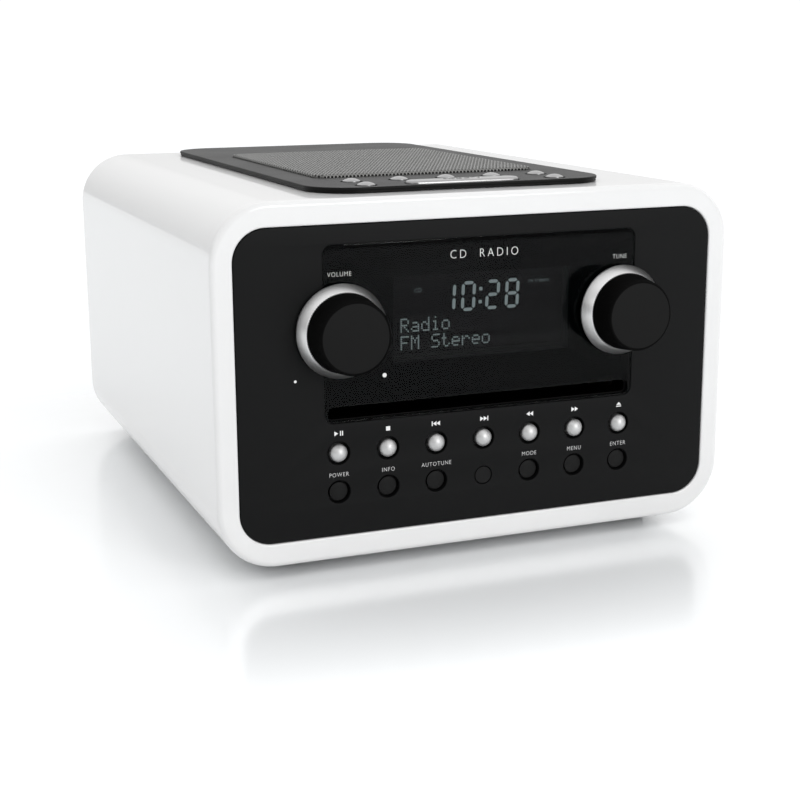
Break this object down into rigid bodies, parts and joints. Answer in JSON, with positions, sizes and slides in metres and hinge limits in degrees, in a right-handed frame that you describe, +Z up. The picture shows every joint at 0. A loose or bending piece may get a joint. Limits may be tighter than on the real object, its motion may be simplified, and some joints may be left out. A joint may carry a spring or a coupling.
{
  "type": "tabletop radio",
  "caption": "Tabletop CD radio: white lacquered sleeve, black control panel with display window and disc slot, rotary knobs, press buttons and a top loudspeaker grille.",
  "frame": {"origin": "middle of the object's footprint, on the surface that its feet stand on", "axes": "+X to the radio's right as seen from the front, +Y from the control panel to the rear panel, +Z up"},
  "size_m": [0.22, 0.2856, 0.1497],
  "materials": {
    "white_lacquer": "white gloss lacquer",
    "rubber": "matte",
    "panel_black": "fine matte grain",
    "window_gloss": "mirror gloss",
    "display_grey": "matte",
    "display_dark": "dark purple-grey film",
    "knob_black": "soft matte",
    "knob_aluminium": "turned, bright",
    "steel": "plain sheet steel",
    "magnet_iron": "dull",
    "cone_paper": "pressed pulp",
    "button_silver": "satin silver",
    "button_black": "satin",
    "circuit_board": "solder mask",
    "cover_black": "satin black lacquer",
    "grille_steel": "fine perforated sheet",
    "socket_black": "matte"
  },
  "bodies": {
    "radio": {"aerial_socket": "steel", "cabinet_shell": "white_lacquer", "disc_drive_chassis": "steel", "disc_drive_deck": "display_grey", "disc_slot_guide": "panel_black", "display_module": "display_dark", "display_surround": "display_grey", "display_window": "window_gloss", "foot_front_left": "rubber", "foot_front_right": "rubber", "foot_rear_left": "rubber", "foot_rear_right": "rubber", "front_board": "circuit_board", "front_panel": "panel_black", "headphone_socket": "socket_black", "line_socket": "socket_black", "main_board": "circuit_board", "mains_inlet": "socket_black", "power_transformer": "magnet_iron", "rear_panel": "panel_black", "remote_sensor_window": "window_gloss", "speaker_basket": "steel", "speaker_grille": "grille_steel", "speaker_magnet": "magnet_iron", "top_button_board": "circuit_board", "top_cover": "cover_black", "tune_encoder": "steel", "tuner_module": "steel", "volume_encoder": "steel"},
    "volume_control": {"volume_knob_cap": "knob_black", "volume_knob_ring": "knob_aluminium", "volume_shaft": "steel"},
    "tune_control": {"tune_knob_cap": "knob_black", "tune_knob_ring": "knob_aluminium", "tune_shaft": "steel"},
    "button_play_pause": {"button_play_pause": "button_silver"},
    "button_stop": {"button_stop": "button_silver"},
    "button_previous": {"button_previous": "button_silver"},
    "button_next": {"button_next": "button_silver"},
    "button_rewind": {"button_rewind": "button_silver"},
    "button_forward": {"button_forward": "button_silver"},
    "button_eject": {"button_eject": "button_silver"},
    "button_power": {"button_power": "button_black"},
    "button_info": {"button_info": "button_black"},
    "button_autotune": {"button_autotune": "button_black"},
    "button_mode": {"button_mode": "button_black"},
    "button_menu": {"button_menu": "button_black"},
    "button_enter": {"button_enter": "button_black"},
    "top_button_1": {"top_button_1": "button_silver"},
    "top_button_2": {"top_button_2": "button_silver"},
    "top_button_3": {"top_button_3": "button_silver"},
    "top_button_4": {"top_button_4": "button_silver"},
    "top_button_5": {"top_button_5": "button_silver"},
    "top_button_left": {"top_button_left": "button_silver"},
    "top_button_right": {"top_button_right": "button_silver"},
    "snooze_bar": {"snooze_bar": "button_silver"},
    "speaker_cone": {"speaker_cone": "cone_paper"},
    "disc_turntable": {"disc_turntable": "panel_black"},
    "feed_roller": {"feed_roller": "rubber"},
    "laser_sled": {"laser_sled": "display_grey"}
  },
  "joints": [
    {"name": "volume_turn", "type": "hinge", "parent": "radio", "child": "volume_control", "pos_m": [-0.06, -0.1352, 0.0961], "axis": [0, 1, 0], "continuous": true},
    {"name": "tune_turn", "type": "hinge", "parent": "radio", "child": "tune_control", "pos_m": [0.06, -0.1352, 0.0961], "axis": [0, 1, 0], "continuous": true},
    {"name": "play_pause_press", "type": "slide", "parent": "radio", "child": "button_play_pause", "axis": [0, 1, 0], "range_m": [0, 0.001], "stiffness_N_per_m": 1000, "springref_m": -0.0005},
    {"name": "stop_press", "type": "slide", "parent": "radio", "child": "button_stop", "axis": [0, 1, 0], "range_m": [0, 0.001], "stiffness_N_per_m": 1000, "springref_m": -0.0005},
    {"name": "previous_press", "type": "slide", "parent": "radio", "child": "button_previous", "axis": [0, 1, 0], "range_m": [0, 0.001], "stiffness_N_per_m": 1000, "springref_m": -0.0005},
    {"name": "next_press", "type": "slide", "parent": "radio", "child": "button_next", "axis": [0, 1, 0], "range_m": [0, 0.001], "stiffness_N_per_m": 1000, "springref_m": -0.0005},
    {"name": "rewind_press", "type": "slide", "parent": "radio", "child": "button_rewind", "axis": [0, 1, 0], "range_m": [0, 0.001], "stiffness_N_per_m": 1000, "springref_m": -0.0005},
    {"name": "forward_press", "type": "slide", "parent": "radio", "child": "button_forward", "axis": [0, 1, 0], "range_m": [0, 0.001], "stiffness_N_per_m": 1000, "springref_m": -0.0005},
    {"name": "eject_press", "type": "slide", "parent": "radio", "child": "button_eject", "axis": [0, 1, 0], "range_m": [0, 0.001], "stiffness_N_per_m": 1000, "springref_m": -0.0005},
    {"name": "power_press", "type": "slide", "parent": "radio", "child": "button_power", "axis": [0, 1, 0], "range_m": [0, 0.001], "stiffness_N_per_m": 1000, "springref_m": -0.0005},
    {"name": "info_press", "type": "slide", "parent": "radio", "child": "button_info", "axis": [0, 1, 0], "range_m": [0, 0.001], "stiffness_N_per_m": 1000, "springref_m": -0.0005},
    {"name": "autotune_press", "type": "slide", "parent": "radio", "child": "button_autotune", "axis": [0, 1, 0], "range_m": [0, 0.001], "stiffness_N_per_m": 1000, "springref_m": -0.0005},
    {"name": "mode_press", "type": "slide", "parent": "radio", "child": "button_mode", "axis": [0, 1, 0], "range_m": [0, 0.001], "stiffness_N_per_m": 1000, "springref_m": -0.0005},
    {"name": "menu_press", "type": "slide", "parent": "radio", "child": "button_menu", "axis": [0, 1, 0], "range_m": [0, 0.001], "stiffness_N_per_m": 1000, "springref_m": -0.0005},
    {"name": "enter_press", "type": "slide", "parent": "radio", "child": "button_enter", "axis": [0, 1, 0], "range_m": [0, 0.001], "stiffness_N_per_m": 1000, "springref_m": -0.0005},
    {"name": "top_button_1_press", "type": "slide", "parent": "radio", "child": "top_button_1", "axis": [0, 0, -1], "range_m": [0, 0.001], "stiffness_N_per_m": 1000, "springref_m": -0.0005},
    {"name": "top_button_2_press", "type": "slide", "parent": "radio", "child": "top_button_2", "axis": [0, 0, -1], "range_m": [0, 0.001], "stiffness_N_per_m": 1000, "springref_m": -0.0005},
    {"name": "top_button_3_press", "type": "slide", "parent": "radio", "child": "top_button_3", "axis": [0, 0, -1], "range_m": [0, 0.001], "stiffness_N_per_m": 1000, "springref_m": -0.0005},
    {"name": "top_button_4_press", "type": "slide", "parent": "radio", "child": "top_button_4", "axis": [0, 0, -1], "range_m": [0, 0.001], "stiffness_N_per_m": 1000, "springref_m": -0.0005},
    {"name": "top_button_5_press", "type": "slide", "parent": "radio", "child": "top_button_5", "axis": [0, 0, -1], "range_m": [0, 0.001], "stiffness_N_per_m": 1000, "springref_m": -0.0005},
    {"name": "top_button_left_press", "type": "slide", "parent": "radio", "child": "top_button_left", "axis": [0, 0, -1], "range_m": [0, 0.001], "stiffness_N_per_m": 1000, "springref_m": -0.0005},
    {"name": "top_button_right_press", "type": "slide", "parent": "radio", "child": "top_button_right", "axis": [0, 0, -1], "range_m": [0, 0.001], "stiffness_N_per_m": 1000, "springref_m": -0.0005},
    {"name": "snooze_bar_press", "type": "slide", "parent": "radio", "child": "snooze_bar", "axis": [0, 0, -1], "range_m": [0, 0.001], "stiffness_N_per_m": 1000, "springref_m": -0.0005},
    {"name": "cone_travel", "type": "slide", "parent": "radio", "child": "speaker_cone", "axis": [0, 0, 1], "range_m": [-0.0015, 0.0015], "stiffness_N_per_m": 2500},
    {"name": "disc_spin", "type": "hinge", "parent": "radio", "child": "disc_turntable", "pos_m": [0, -0.0332, 0.058], "axis": [0, 0, 1], "continuous": true},
    {"name": "feed_roll", "type": "hinge", "parent": "radio", "child": "feed_roller", "pos_m": [0, -0.0982, 0.0558], "axis": [1, 0, 0], "continuous": true},
    {"name": "sled_travel", "type": "slide", "parent": "radio", "child": "laser_sled", "axis": [0, 1, 0], "range_m": [0, 0.035]}
  ]
}
